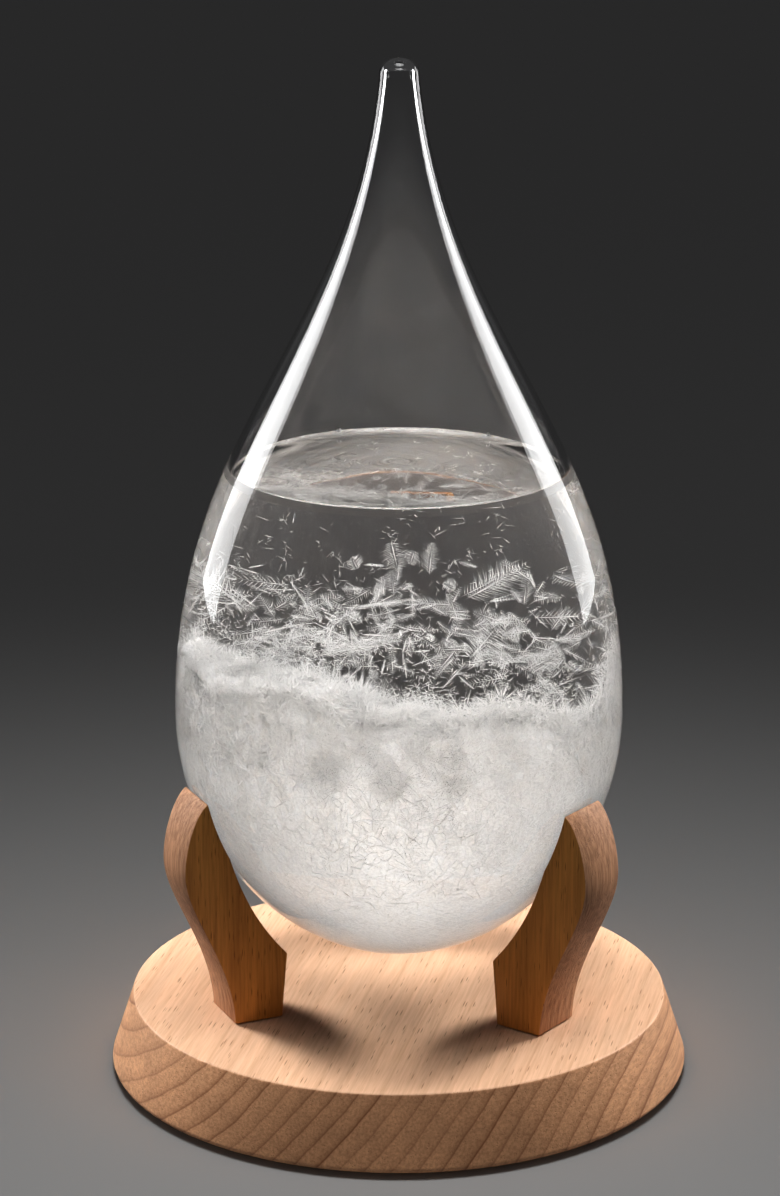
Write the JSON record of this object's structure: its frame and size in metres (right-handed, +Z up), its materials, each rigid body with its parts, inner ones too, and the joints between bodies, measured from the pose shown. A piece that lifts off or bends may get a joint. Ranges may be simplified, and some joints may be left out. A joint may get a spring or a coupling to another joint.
{
  "type": "storm glass weather forecaster",
  "caption": "Teardrop storm glass: a sealed blown glass drop part filled with camphor solution and crystals, resting in claw legs on a round beech base.",
  "frame": {"origin": "centre of the felt pads' underside, on the drop's axis", "axes": "+Z up along the drop's axis, -Y towards the viewer, between the left and right legs"},
  "size_m": [0.145, 0.145, 0.2529],
  "materials": {
    "bulb_glass": "polished",
    "camphor_solution": "polished",
    "camphor_crystals": "matte",
    "base_beech": "satin",
    "leg_beech": "satin",
    "screw_steel": "satin",
    "pad_felt": "matte"
  },
  "bodies": {
    "stand": {"stand_base": "base_beech", "claw_leg_left": "leg_beech", "claw_leg_right": "leg_beech", "claw_leg_back": "leg_beech", "leg_screw_left": "screw_steel", "leg_screw_right": "screw_steel", "leg_screw_back": "screw_steel", "leg_dowel_left": "base_beech", "leg_dowel_right": "base_beech", "leg_dowel_back": "base_beech", "felt_pad_front": "pad_felt", "felt_pad_left": "pad_felt", "felt_pad_right": "pad_felt"},
    "glass": {"glass_bulb": "bulb_glass", "tip_seal": "bulb_glass", "storm_liquid": "camphor_solution", "crystal_bed": "camphor_crystals"}
  },
  "joints": [
    {"name": "glass_lift", "type": "slide", "parent": "stand", "child": "glass", "axis": [0, 0, 1], "range_m": [0, 0.06]}
  ]
}
